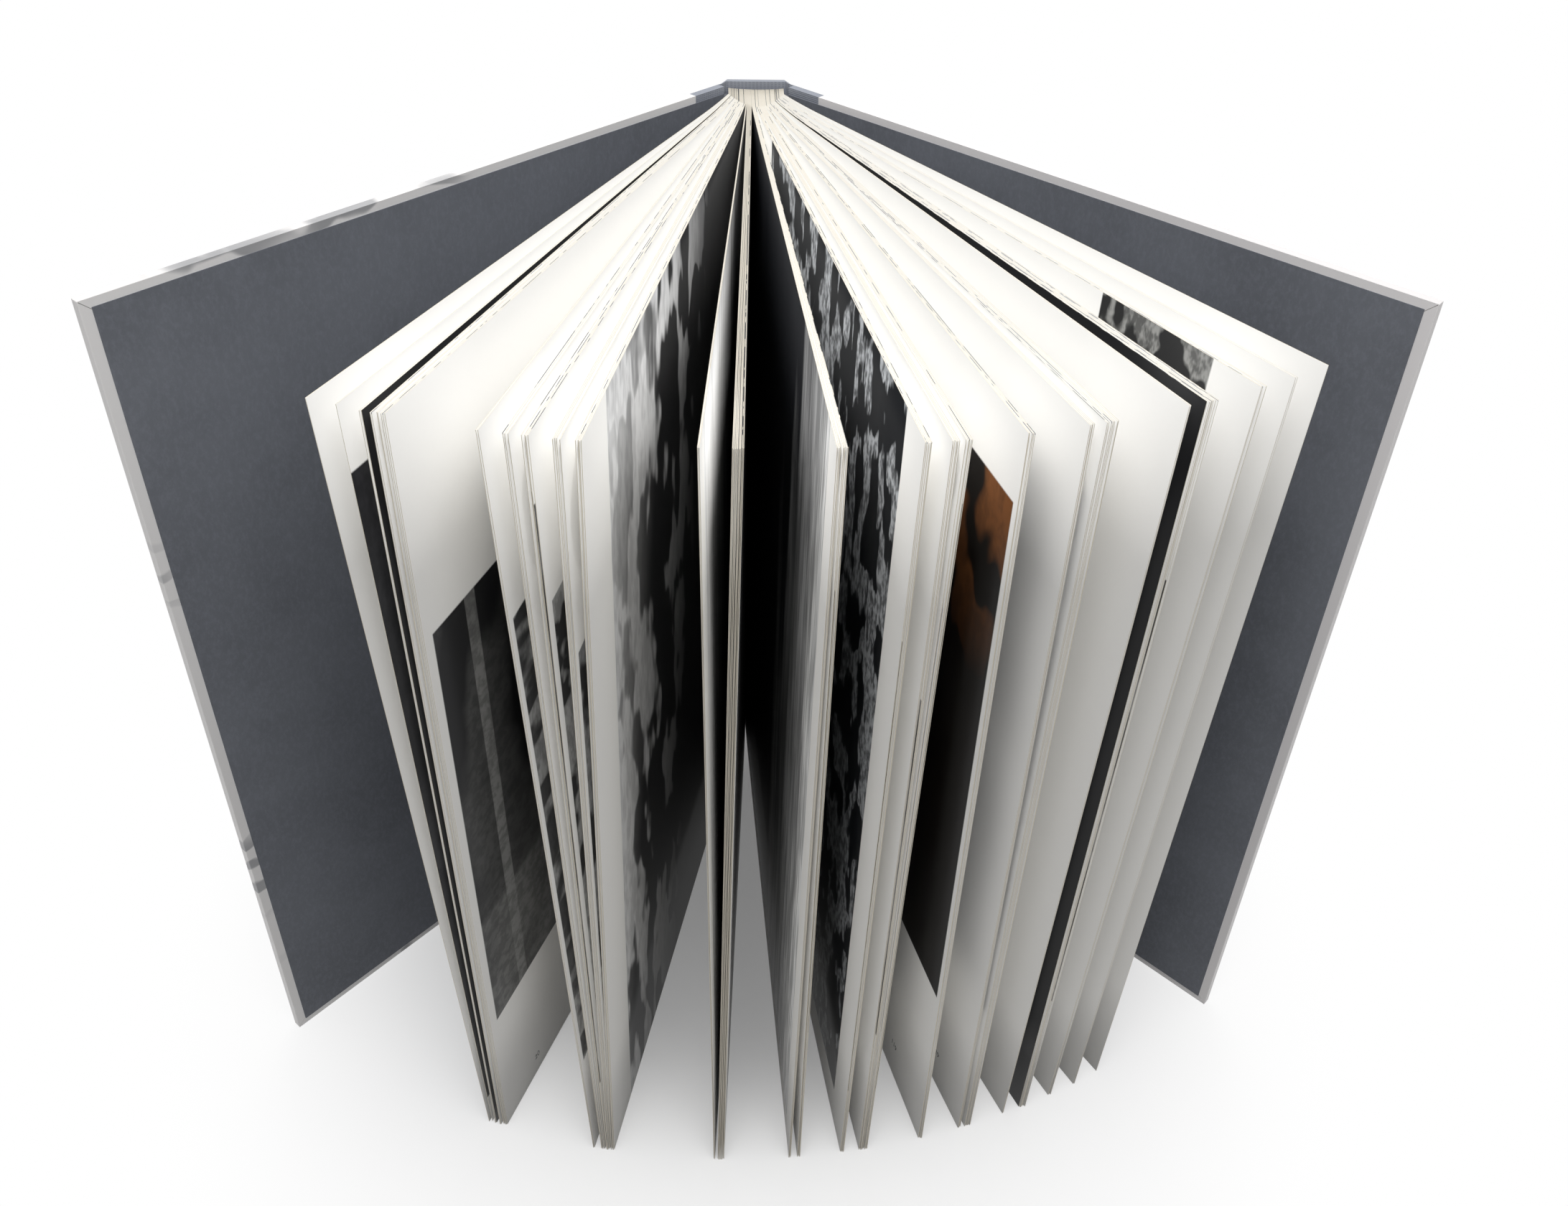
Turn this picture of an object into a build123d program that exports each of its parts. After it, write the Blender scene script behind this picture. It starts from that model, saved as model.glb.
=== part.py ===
from build123d import *
import os
from math import cos, radians, sin

# A hardcover photo book that stands open and fanned on its tail.
# Millimetres, +Z up. The origin is on the floor, midway through the spine's thickness.
# The fore-edges point along -Y, the front cover is at -X and the back cover at +X.

# Boards and the cloth and paper that cover them
board_width = 232.3
board_height = 299.5
board_thickness = 2.5
spine_width = 20.0
spine_thickness = 1.8
covering = 0.25
turn_in = 15.0
cloth_wing = 14.0
mitre_slit = 0.15
board_edge_round = 0.2

# Cover folds: where the cloth hinges beside the spine
fold_step = 2.1
fold_depth = 3.5
fold_radius = 0.35
fold_gap = 0.3
board_setback = 2.1
opening_angle = {"front": 43.6, "back": 44.3}
cover_side = {"front": -1, "back": 1}

# Text block and endpapers
page_height = 295.0
leaf = 0.2
leaf_swell = 1.04
head_reach = 233.6
tail_reach = 230.4
droop_angle = 0.72
block_clearance = 0.3
lining = 0.35
lining_inset = 5.0
back_hollow = 1.4
shoulder = 6.2
gutter_rise = 12.0
gutter_curve = 12.0
gutter_lean = 0.85
pastedown_fore_margin = 3.1

# The fan: leaves in a group, and its lean at the head and the tail in degrees from -Y
fan = [
    (1, -23.0, -21.8),
    (9, -21.0, -21.3),
    (2, -14.9, -12.9),
    (7, -12.9, -12.4),
    (8, -10.4, -11.8),
    (2, -3.5, -3.2),
    (8, -1.6, -2.7),
    (7, 3.7, 3.2),
    (5, 8.2, 7.1),
    (10, 9.8, 8.6),
    (5, 13.4, 13.4),
    (4, 16.9, 16.9),
    (7, 17.9, 17.4),
    (2, 22.9, 20.7),
    (9, 24.2, 22.4),
    (4, 27.8, 25.0),
    (2, 30.2, 27.5),
]
flyleaf_lean = {"front": (-24.9, -22.0), "back": (33.0, 30.1)}

# Sizes that follow from the ones above
case_height = board_height + 2 * covering
spine_half = spine_width / 2
spine_face = spine_thickness / 2
leaf_pitch = leaf * leaf_swell
block_half = sum(row[0] for row in fan) * leaf_pitch / 2
block_back = -(spine_face + covering + block_clearance + lining)
droop = radians(droop_angle)
tail_rise = (tail_reach - block_back) * sin(droop)
margin = (case_height - page_height) / 2


def leaf_foot(x):
    """The place where the leaf at x leaves the glued gutter."""
    across = x / block_half
    return (x, block_back - shoulder - gutter_rise * (1 - across**2))


def leaf_tip(x, lean, reach):
    """The fore-edge of the leaf at x."""
    turned = radians(lean)
    return (x + reach * sin(turned), block_back - reach * cos(turned))


def leaf_side(x, lean, reach):
    """The side of a leaf that leaves the gutter with a share of its lean, bends over and runs straight."""
    foot = Vector(*leaf_foot(x))
    tip = Vector(*leaf_tip(x, lean, reach))
    start_turned = radians(lean * gutter_lean)
    start = Vector(sin(start_turned), -cos(start_turned))
    middle = foot + start * gutter_curve
    bent = middle + (tip - middle).normalized() * gutter_curve
    TangentArc(foot, bent, tangent=start)
    Line(bent, tip)


def section_plane(height):
    """A level through the leaves, which droop from the spine to the floor."""
    return Plane(origin=(0, 0, height), x_dir=(1, 0, 0), z_dir=(0, -sin(droop), cos(droop)))


# Each section: its plane, the leaves' reach there and the column of the fan's leans
sections = [
    (section_plane(tail_rise), tail_reach, 1),
    (section_plane(tail_rise + page_height), head_reach, 0),
]

os.makedirs("parts", exist_ok=True)

# Pages: one block with a hollow back, whose groups of leaves fan out from the gutter
with BuildPart() as pages:
    for plane, reach, column in sections:
        with BuildSketch(plane):
            with BuildLine():
                ThreePointArc((-block_half, block_back), (0, block_back - back_hollow), (block_half, block_back))
                Line((-block_half, block_back), leaf_foot(-block_half))
                Line((block_half, block_back), leaf_foot(block_half))
                left = -block_half
                for row in fan:
                    right = left + row[0] * leaf_pitch
                    lean = row[1 + column]
                    # Two sides of the group and its fore-edge between them
                    leaf_side(left, lean, reach)
                    Line(leaf_tip(left, lean, reach), leaf_tip(right, lean, reach))
                    leaf_side(right, lean, reach)
                    left = right
            make_face()
    loft(ruled=True)
pages.part.label = "pages"
export_step(pages.part, "parts/pages.step")

# Flyleaves: the free halves of the two endpapers, each on its side of the block
for name, side in cover_side.items():
    inner = side * block_half
    outer = side * (block_half + leaf)
    with BuildPart() as flyleaf:
        for plane, reach, column in sections:
            lean = flyleaf_lean[name][column]
            with BuildSketch(plane):
                with BuildLine():
                    Polyline(
                        leaf_foot(inner), leaf_tip(inner, lean, reach), leaf_tip(outer, lean, reach),
                        leaf_foot(outer), (outer, block_back), (inner, block_back), close=True,
                    )
                make_face()
        loft(ruled=True)
    flyleaf.part.label = f"{name}_flyleaf"
    export_step(flyleaf.part, f"parts/{name}_flyleaf.step")

# Spine lining: the glued strip over the block's hollow back
with BuildPart() as spine_lining:
    with BuildSketch(section_plane(tail_rise + lining_inset)):
        with BuildLine():
            block_arc = ThreePointArc(
                (-block_half, block_back), (0, block_back - back_hollow), (block_half, block_back)
            )
            outer_arc = ThreePointArc(
                (-block_half, block_back + lining),
                (0, block_back - back_hollow + lining),
                (block_half, block_back + lining),
            )
            Line(block_arc @ 0, outer_arc @ 0)
            Line(block_arc @ 1, outer_arc @ 1)
        make_face()
    extrude(amount=page_height - 2 * lining_inset, dir=(0, 0, 1))
spine_lining.part.label = "spine_lining"
export_step(spine_lining.part, "parts/spine_lining.step")

# Spine board: the stiff strip between the two folds
with BuildPart() as spine_board:
    with BuildSketch(Plane.XY.offset(covering)):
        Rectangle(spine_width, spine_thickness)
    extrude(amount=board_height)
spine_board.part.label = "spine_board"
export_step(spine_board.part, "parts/spine_board.step")


def cover_direction(name):
    """The way a cover points from its fold, seen from above."""
    opened = radians(opening_angle[name])
    return Vector(cover_side[name] * sin(opened), -cos(opened))


def cover_outward(name):
    """The way a cover's outer face looks."""
    opened = radians(opening_angle[name])
    return Vector(cover_side[name] * cos(opened), sin(opened))


def fold_middle(name):
    """The middle of the cloth at a cover's fold."""
    return Vector(cover_side[name] * (spine_half + fold_step), -fold_depth)


def strip_point(name, y):
    """Where the inner face of the spine's cloth, on its way to a fold, crosses the depth y."""
    corner = Vector(cover_side[name] * spine_half, spine_face)
    fold = fold_middle(name) - cover_outward(name) * (covering / 2)
    return corner + (fold - corner) * ((y - corner.Y) / (fold.Y - corner.Y))


# Spine cloth: over the spine board from fold to fold, and turned in at the head and the tail
strip_ends = [strip_point(name, fold_gap - fold_depth) for name in cover_side]
strip_corners = [strip_point(name, spine_face) for name in cover_side]
turned_corners = [strip_point(name, -spine_face) for name in cover_side]
with BuildPart() as spine_cloth:
    with BuildSketch():
        with BuildLine():
            Polyline(strip_ends[0], strip_corners[0], strip_corners[1], strip_ends[1])
            offset(amount=covering, side=Side.LEFT)
        make_face()
    extrude(amount=case_height)
    with BuildSketch():
        with BuildLine():
            Polyline(strip_ends[0], turned_corners[0], turned_corners[1], strip_ends[1])
            offset(amount=covering, side=Side.RIGHT)
        make_face()
    extrude(amount=turn_in)
    with BuildSketch():
        with BuildLine():
            Polyline(turned_corners[0], strip_corners[0], strip_corners[1], turned_corners[1], close=True)
        make_face()
    extrude(amount=covering)
    mirror(about=Plane.XY.offset(case_height / 2))
spine_cloth.part.label = "spine_cloth"
export_step(spine_cloth.part, "parts/spine_cloth.step")

# Levels through a cover, outward from the fold's axis
cloth_outer = covering / 2 - fold_radius
board_outer = cloth_outer - covering
board_inner = board_outer - board_thickness
turned_inner = board_inner - covering
pastedown_inner = turned_inner - leaf

# Distances along a cover from the fold's axis
board_start = board_setback
board_end = board_start + board_width
cover_end = board_end + covering
cloth_end = board_start + cloth_wing
window_end = board_end - turn_in
mitre_start = window_end - mitre_slit


def slab(start, end, low, high, side):
    """A rectangle between two distances along a cover and two levels through it."""
    with Locations(((start + end) / 2, side * (low + high) / 2)):
        Rectangle(end - start, high - low)


# Covers: a board, its book cloth at the fold, its paper and its pastedown
for name, side in cover_side.items():
    direction = cover_direction(name)
    axis_place = fold_middle(name) + cover_outward(name) * fold_radius
    cover_plane = Plane(origin=axis_place, x_dir=direction, z_dir=(0, 0, 1))
    board_foot = cover_plane.offset(covering)
    window_foot = cover_plane.offset(turn_in)
    pastedown_foot = cover_plane.offset(margin)
    turned_middle = axis_place + cover_outward(name) * ((turned_inner + board_inner) / 2)
    turned_face = Plane(origin=turned_middle, x_dir=direction, z_dir=direction.cross(Vector(0, 0, 1)))

    with BuildPart() as board:
        with BuildSketch(board_foot):
            slab(board_start, board_end, board_inner, board_outer, side)
        extrude(amount=board_height)
    board.part.label = f"{name}_board"
    export_step(board.part, f"parts/{name}_board.step")

    with BuildPart() as cover_paper:
        with BuildSketch(cover_plane):
            slab(cloth_end, cover_end, turned_inner, cloth_outer, side)
        extrude(amount=case_height)
        fillet(cover_paper.edges().group_by(Axis(axis_place, direction))[-1], board_edge_round)
        add(board.part, mode=Mode.SUBTRACT)
        with BuildSketch(window_foot):
            slab(cloth_end, window_end, turned_inner, board_inner, side)
        extrude(amount=case_height - 2 * turn_in, mode=Mode.SUBTRACT)
        # The turned corners meet in a mitre
        with BuildSketch(turned_face):
            with BuildLine():
                Line((mitre_start, turn_in + mitre_slit), (board_end, covering))
                Line((mitre_start, case_height - turn_in - mitre_slit), (board_end, case_height - covering))
            trace(line_width=mitre_slit)
        extrude(amount=covering / 2, both=True, mode=Mode.SUBTRACT)
    cover_paper.part.label = f"{name}_cover_paper"
    export_step(cover_paper.part, f"parts/{name}_cover_paper.step")

    with BuildPart() as cloth:
        with BuildSketch(cover_plane):
            slab(fold_gap, cloth_end, board_outer, cloth_outer, side)
        extrude(amount=case_height)
        with BuildSketch(cover_plane):
            slab(fold_gap, board_start, board_outer - covering, board_outer, side)
            slab(board_start - covering, board_start, turned_inner, board_outer, side)
            slab(board_start - covering, cloth_end, turned_inner, board_inner, side)
        extrude(amount=turn_in)
        with BuildSketch(cover_plane):
            slab(board_start, cloth_end, board_inner, board_outer, side)
        extrude(amount=covering)
        mirror(about=cover_plane.offset(case_height / 2))
    cloth.part.label = f"{name}_cloth"
    export_step(cloth.part, f"parts/{name}_cloth.step")

    with BuildPart() as pastedown:
        with BuildSketch(pastedown_foot):
            slab(board_start, cover_end - pastedown_fore_margin, pastedown_inner, turned_inner, side)
        extrude(amount=page_height)
        with BuildSketch(window_foot):
            slab(board_start, window_end, turned_inner, board_inner, side)
        extrude(amount=case_height - 2 * turn_in)
    pastedown.part.label = f"{name}_pastedown"
    export_step(pastedown.part, f"parts/{name}_pastedown.step")
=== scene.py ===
from math import cos, pi, radians, sin

import bpy
import numpy as np
from bpy.props import FloatProperty, FloatVectorProperty, IntProperty, PointerProperty
from mathutils import Matrix, Vector


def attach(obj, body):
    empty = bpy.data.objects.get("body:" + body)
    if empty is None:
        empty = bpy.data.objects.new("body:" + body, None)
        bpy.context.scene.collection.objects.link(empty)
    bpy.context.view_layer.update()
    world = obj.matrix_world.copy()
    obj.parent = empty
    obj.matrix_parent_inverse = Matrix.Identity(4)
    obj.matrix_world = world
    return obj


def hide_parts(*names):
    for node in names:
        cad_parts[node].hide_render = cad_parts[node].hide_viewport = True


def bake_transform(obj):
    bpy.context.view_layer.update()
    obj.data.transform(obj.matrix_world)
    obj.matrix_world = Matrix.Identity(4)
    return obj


bl_info = {
    "name": "Photo Book",
    "version": (1, 0, 0),
    "blender": (4, 5, 0),
    "location": "View3D > Sidebar > Photo Book",
    "description": "Dresses an open, fanned hardcover photo book: leaves, endpapers, cloth folds and covers",
    "category": "Add Mesh",
}

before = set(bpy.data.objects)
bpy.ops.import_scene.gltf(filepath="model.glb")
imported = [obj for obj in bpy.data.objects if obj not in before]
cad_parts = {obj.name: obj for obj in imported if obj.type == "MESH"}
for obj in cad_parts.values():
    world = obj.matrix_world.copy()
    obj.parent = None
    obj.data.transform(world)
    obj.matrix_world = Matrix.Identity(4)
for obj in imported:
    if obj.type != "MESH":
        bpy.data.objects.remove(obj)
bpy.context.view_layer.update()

# Sizes shared with the solids, in metres
BLOCK_HALF = 0.009568
BLOCK_BACK = -0.0018
BACK_HOLLOW = 0.0014
SHOULDER = 0.0062
GUTTER_RISE = 0.012
GUTTER_CURVE = 0.012
GUTTER_LEAN = 0.85
HEAD_REACH = 0.2336
TAIL_REACH = 0.2304
PAGE_HEIGHT = 0.295
CASE_HEIGHT = 0.3
DROOP = radians(0.72)
TAIL_RISE = (TAIL_REACH - BLOCK_BACK) * sin(DROOP)
LEAF_COUNT = 92
LEAF_PITCH = 2 * BLOCK_HALF / LEAF_COUNT
COVER_SIDE = {"front": -1, "back": 1}
OPENING = {"front": radians(43.6), "back": radians(44.3)}
FOLD_MIDDLE = (0.0121, -0.0035)
FOLD_RADIUS = 0.00035
SPINE_CORNER = (0.010, 0.0009)
PASTEDOWN_LEVEL = 0.003325
HALF_COVERING = 0.000125

# Endpapers: where they stand beside the block, their sheet, and the paper that turns over the fold
ENDPAPER_ROOT = BLOCK_HALF + 0.0001
FLYLEAF_THICKNESS = 0.00018
FOLD_PAPER_THICKNESS = 0.00015
FOLD_PAPER_LOW = 0.003
FOLD_PAPER_HIGH = 0.2972
FOLD_PAPER_FOOT = 0.0016
FOLD_PAPER_LAP = 0.0036
FOLD_PAPER_BEND = 0.0008

# Cloth over a fold: its laps on the spine and on the board, its bend, its sheet and its ends
CLOTH_SPINE_LAP = 0.0018
CLOTH_BOARD_LAP = 0.0016
CLOTH_BEND = 0.0006
CLOTH_THICKNESS = 0.00021
CLOTH_SET_IN = 0.00002

# What a sheet's triangle is: 0 left face, 1 right face, 2 cut edge
CUT_EDGE = 2
# A leaf that turns less than this at the gutter takes this as its half turn
LEAST_TURN = 1e-6

# The fan's groups of leaves, with the leans and the spread at the head in degrees
FAN_COLUMNS = ("name", "leaves", "lean_head", "lean_tail", "spread")
FAN = [
    ("front_a", 1, -23.0, -21.8, 0),
    ("front_b", 2, -21.45, -21.5, 0.05),
    ("front_c", 7, -20.65, -21.0, 0.5),
    ("front_d", 2, -14.9, -12.8, 0.05),
    ("front_e", 3, -13.4, -12.15, 0.2),
    ("front_f", 4, -12.5, -12.0, 0.2),
    ("front_g", 4, -10.9, -11.9, 0.25),
    ("front_h", 4, -9.9, -11.85, 0.15),
    ("centre_a", 2, -3.5, -3.1, 0.04),
    ("centre_b", 8, -1.6, -2.8, 0.25),
    ("centre_c", 3, 3.6, 2.9, 0.08),
    ("centre_d", 4, 3.8, 3.5, 0.1),
    ("centre_e", 5, 8.2, 7.1, 0.14),
    ("centre_f", 5, 9.5, 8.5, 0.18),
    ("centre_g", 5, 10.0, 8.65, 0.15),
    ("back_a", 5, 13.4, 13.4, 0.12),
    ("back_b", 4, 16.9, 16.9, 0.15),
    ("back_c", 7, 17.9, 17.4, 0.45),
    ("back_d", 2, 22.9, 20.7, 0.05),
    ("back_e", 9, 24.2, 22.4, 0.35),
    ("back_f", 4, 27.8, 25.0, 0.2),
    ("back_g", 2, 30.2, 27.5, 0.1),
]
FLYLEAF_LEAN = {"front": (-24.9, -22.0), "back": (33.0, 30.1)}
# The first groups show their right faces in the fan's gaps, and the others their left ones
RIGHT_SHOWING_GROUPS = 10

# Steps between a group's leaves: the least, the mean of what is added, and the tail's share of the spread
STEP_LEAST = 0.25
STEP_MORE = 0.7
TAIL_SPREAD = 0.6

# Printed fields: group, face (0 left, 1 right), box on the page (gutter to fore-edge, tail to head),
# dark ink, light ink, (fall along the page, fall up it, start), (mottle cells across and up, strength),
# (level of a horizon, tone below it, edge softness of the mottle), (fine cells across and up, strength),
# (place of an upright band, its half width, its tone)
WHOLE_PAGE = (-1.0, 2.0, -1.0, 2.0)
PRINT_VALUES = (
    "print_low", "print_high", "ink_dark", "ink_light", "print_fall",
    "print_mottle", "print_horizon", "print_fine", "print_band",
)
PRINTS = [
    ("front_a", 1, (0.0, 2.0, 0.05, 0.936), (0.004, 0.004, 0.005), (0.05, 0.05, 0.055),
     (0, 0, 0.0), (9, 7, 0.5), (0.5, 0.12, 0.2), (60, 40, 0.5), (0, 0, 0)),
    ("front_b", 1, WHOLE_PAGE, (0.004, 0.004, 0.005), (0.02, 0.02, 0.02),
     (0, 0, 0), (20, 20, 0.2), (0, 0, 0.4), (9, 9, 0), (0, 0, 0)),
    ("front_c", 1, (0.0, 0.983, 0.194, 0.766), (0.012, 0.012, 0.013), (0.26, 0.26, 0.25),
     (0.0, 0, -0.1), (7, 5, 0.35), (0.36, 0.5, 0.1), (60, 90, 0.4), (0.9, 0.013, 0.7)),
    ("front_d", 1, (0.0, 0.99, 0.167, 0.809), (0.015, 0.015, 0.016), (0.42, 0.42, 0.41),
     (0.1, -0.2, 0.1), (7, 26, 0.7), (0.35, 0.1, 0.05), (90, 60, 0.4), (0, 0, 0)),
    ("front_f", 1, (0.0, 0.985, 0.1, 0.83), (0.02, 0.02, 0.02), (0.42, 0.42, 0.41),
     (0, 0, -0.1), (14, 18, 0.9), (0.4, 0.2, 0.05), (70, 60, 0.4), (0, 0, 0)),
    ("front_g", 1, (0.0, 0.99, 0.08, 0.78), (0.02, 0.02, 0.02), (0.35, 0.35, 0.35),
     (0, 0, 0.0), (10, 14, 0.8), (0.3, 0.2, 0.05), (70, 60, 0.4), (0, 0, 0)),
    ("front_h", 1, (0.0, 0.9, -1.0, 2.0), (0.006, 0.006, 0.007), (0.72, 0.72, 0.72),
     (3.2, 0.9, -1.9), (16, 8, -1.0), (0, 0, 0.05), (60, 24, 0.25), (0, 0, 0)),
    ("centre_a", 1, (0.0, 0.95, -1.0, 2.0), (0.008, 0.008, 0.01), (0.9, 0.9, 0.9),
     (2.2, 1.0, -1.9), (26, 3, 0.3), (0, 0, 0.4), (90, 5, 0.2), (0, 0, 0)),
    ("centre_b", 1, (0.0, 0.9, -1.0, 2.0), (0.02, 0.02, 0.022), (0.7, 0.7, 0.7),
     (1.0, 0, -0.3), (26, 3, 0.4), (0, 0, 0.4), (90, 5, 0.2), (0, 0, 0)),
    ("centre_c", 0, (0.0, 0.95, 0.03, 2.0), (0.010, 0.011, 0.014), (0.92, 0.92, 0.91),
     (3.0, -0.5, -1.75), (20, 2.5, 0.6), (0, 0, 0.25), (110, 9, 0.5), (0, 0, 0)),
    ("centre_e", 0, (0.15, 0.93, 0.05, 2.0), (0.008, 0.009, 0.011), (0.55, 0.57, 0.59),
     (0.0, 0.5, -0.5), (26, 16, 0.9), (0, 0, 0.025), (120, 80, 0.8), (0.7, 0.012, -1)),
    ("back_a", 0, (0.0, 0.99, 0.27, 0.93), (0.006, 0.0045, 0.0035), (0.27, 0.10, 0.03),
     (-1.0, 3.4, -2.6), (9, 7, 1.1), (0, 0, 0.07), (50, 40, 0.3), (0, 0, 0)),
    ("back_e", 0, WHOLE_PAGE, (0.004, 0.004, 0.005), (0.02, 0.02, 0.02),
     (0, 0, 0), (20, 20, 0.2), (0, 0, 0.4), (9, 9, 0), (0, 0, 0)),
    ("back_f", 0, (0.75, 0.93, 0.3, 2.0), (0.02, 0.02, 0.02), (0.42, 0.42, 0.40),
     (0, 0, 0.0), (30, 26, 0.7), (0, 0, 0.04), (120, 70, 0.7), (0, 0, 0)),
]
# A blank page and the plain grey field of a page inside a group, in the order of PRINT_VALUES
BLANK_PAGE = np.array([
    (2, 2, 0), (2, 2, 0), (0, 0, 0), (0, 0, 0), (0, 0, 0), (1, 1, 0), (0, 0, 1), (1, 1, 0), (0, 0, 0),
], float)
INNER_PAGE = np.array([
    (0.1, 0.2, 0), (0.9, 0.8, 0), (0.02, 0.02, 0.02), (0.4, 0.4, 0.4), (0, 0, 0.1),
    (9, 7, 0.8), (0.4, 0.1, 0.1), (60, 50, 0.4), (0, 0, 0),
])
BLANK_SHARE = 0.34
MOTTLE_SEEDS = 40
DASHED_SHARE = 0.25
DASH_CELLS = 30
DASH_SOFTNESS = 0.02

# Page numbers: group, face, place of the number's foot as shares of the page
PAGE_NUMBERS = [("front_c", 1, (0.893, 0.024)), ("back_a", 0, (0.87, 0.05)), ("back_b", 0, (0.90, 0.05))]
PAGE_NUMBER_HEIGHT = 0.0034
INK_THICKNESS = 0.00001

# The stage: the floor, between which distances its white glow grows, the least glow, and the two lamps
FLOOR_HALF = 4.0
GLOW_MIDDLE = (0, -0.12, 0)
GLOW_NEAR = 0.06
GLOW_FAR = 0.24
GLOW_LEAST = 0.15
LAMP_SIZE = 0.6
LAMP_PLACE = (0.0, -0.42, 0.92)
LAMP_TARGET = (0, -0.1, 0.15)
FILL_SIZE = 0.9
FILL_PLACE = (0.0, 0.95, 0.55)
FILL_TARGET = (0, 0, 0.12)

# The photograph's viewpoint: its size, focal length and principal point in pixels, then the place and turns
PHOTO_WIDTH = 2184
PHOTO_HEIGHT = 1680
FOCAL_LENGTH = 1922.55
PRINCIPAL_POINT = (1096.7, 754.66)
SENSOR_WIDTH = 36.0
CAMERA_PLACE = (-0.0131, -0.492, 0.45863)
CAMERA_PITCH = radians(36.302)
CAMERA_YAW = radians(3.428)
CAMERA_ROLL = radians(1.805)


def fan_rows(column):
    """A column of the fan's table by its name, one value for each leaf."""
    index = FAN_COLUMNS.index(column)
    return np.repeat([row[index] for row in FAN], [row[1] for row in FAN])


def toned(colour, share):
    """A colour made darker or lighter by a share."""
    return tuple(c * share for c in colour)


def leaf_path(root, lean, reach, gutter_steps, flat_steps):
    """Plan of each leaf: straight forward from the block's hollow back to the foot, then an arc that
    turns from a share of the lean into the leaf's own heading, then straight to the fore-edge.
    The chord of an arc's share a is length * a * sinc(turn * a / 2), turned half of the way.
    Gives points, headings and the share of the leaf's length past the foot, for roots x columns."""

    def heading(turned):
        return np.stack([np.sin(turned), -np.cos(turned)], -1)

    root, lean = np.broadcast_arrays(np.asarray(root, float), np.asarray(lean, float))
    across = 1 - (root / BLOCK_HALF) ** 2
    back = np.stack([root, BLOCK_BACK - BACK_HOLLOW * across], -1)
    foot = np.stack([root, BLOCK_BACK - SHOULDER - GUTTER_RISE * across], -1)
    tip = np.stack([root, np.full_like(root, BLOCK_BACK)], -1) + heading(lean) * reach
    first = lean * GUTTER_LEAN
    middle = foot + heading(first) * GUTTER_CURVE
    away = (tip - middle) / np.linalg.norm(tip - middle, axis=-1, keepdims=True)
    last = np.arctan2(away[:, 0], -away[:, 1])
    turn = last - first
    half_turn = np.where(np.abs(turn) < LEAST_TURN, LEAST_TURN, turn / 2)
    arc_length = 2 * GUTTER_CURVE * half_turn / np.tan(half_turn)
    share = np.linspace(0, 1, gutter_steps + 1)[None]
    chord = arc_length[:, None] * share * np.sinc(turn[:, None] * share / 2 / pi)
    arc = foot[:, None] + heading(first[:, None] + turn[:, None] * share / 2) * chord[..., None]
    bent = middle + away * GUTTER_CURVE
    along = np.linspace(0, 1, flat_steps + 1)[1:]
    flat = bent[:, None] + (tip - bent)[:, None] * along[None, :, None]
    points = np.concatenate([back[:, None], arc, flat], 1)
    none = np.zeros((len(root), 1))
    in_arc = first[:, None] + turn[:, None] * share
    turned = np.concatenate([none, in_arc, np.repeat(last[:, None], flat_steps, 1)], 1)
    run = np.linalg.norm(np.diff(points[:, 1:], axis=1), axis=-1)
    past = np.concatenate([none, np.cumsum(run, 1)], 1)
    past = np.concatenate([none, past / past[:, -1:]], 1)
    return points, turned, past


def leaf_shells(root, lean_head, lean_tail, trim, thickness, gutter_steps=7, flat_steps=5, rows=7):
    """Closed thin sheets. Each side is the leaf's plan moved half a thickness along its normal, ruled
    from the tail's plan to the head's. A sheet's outline runs out along the left face and back along
    the right one, row by row upwards."""
    height = np.linspace(0, 1, rows)[None, :, None, None]
    ends = ((lean_tail, TAIL_REACH, TAIL_RISE), (lean_head, HEAD_REACH, TAIL_RISE + PAGE_HEIGHT))
    sections = []
    for lean, reach, level in ends:
        length = reach - trim[:, None]
        points, turned, past = leaf_path(root, np.radians(lean), length, gutter_steps, flat_steps)
        normal = np.stack([np.cos(turned), np.sin(turned)], -1)
        sections.append((points, normal, past, level))
    (tail_points, tail_normal, past, tail_level), (head_points, head_normal, _, head_level) = sections
    points = tail_points[:, None] * (1 - height) + head_points[:, None] * height
    normal = tail_normal[:, None] * (1 - height) + head_normal[:, None] * height
    lift = (tail_level * (1 - height) + head_level * height)[..., 0]
    left = points - normal * thickness / 2
    right = points + normal * thickness / 2
    loop = np.concatenate([left, right[:, :, ::-1]], 2)
    solid = np.stack([loop[..., 0], loop[..., 1] * cos(DROOP), loop[..., 1] * sin(DROOP) + lift], -1)
    u = np.concatenate([past, past[:, ::-1]], 1)[:, None].repeat(rows, 1)
    v = np.broadcast_to(np.linspace(0, 1, rows)[None, :, None], u.shape)
    return solid, np.stack([u, v], -1)


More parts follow.
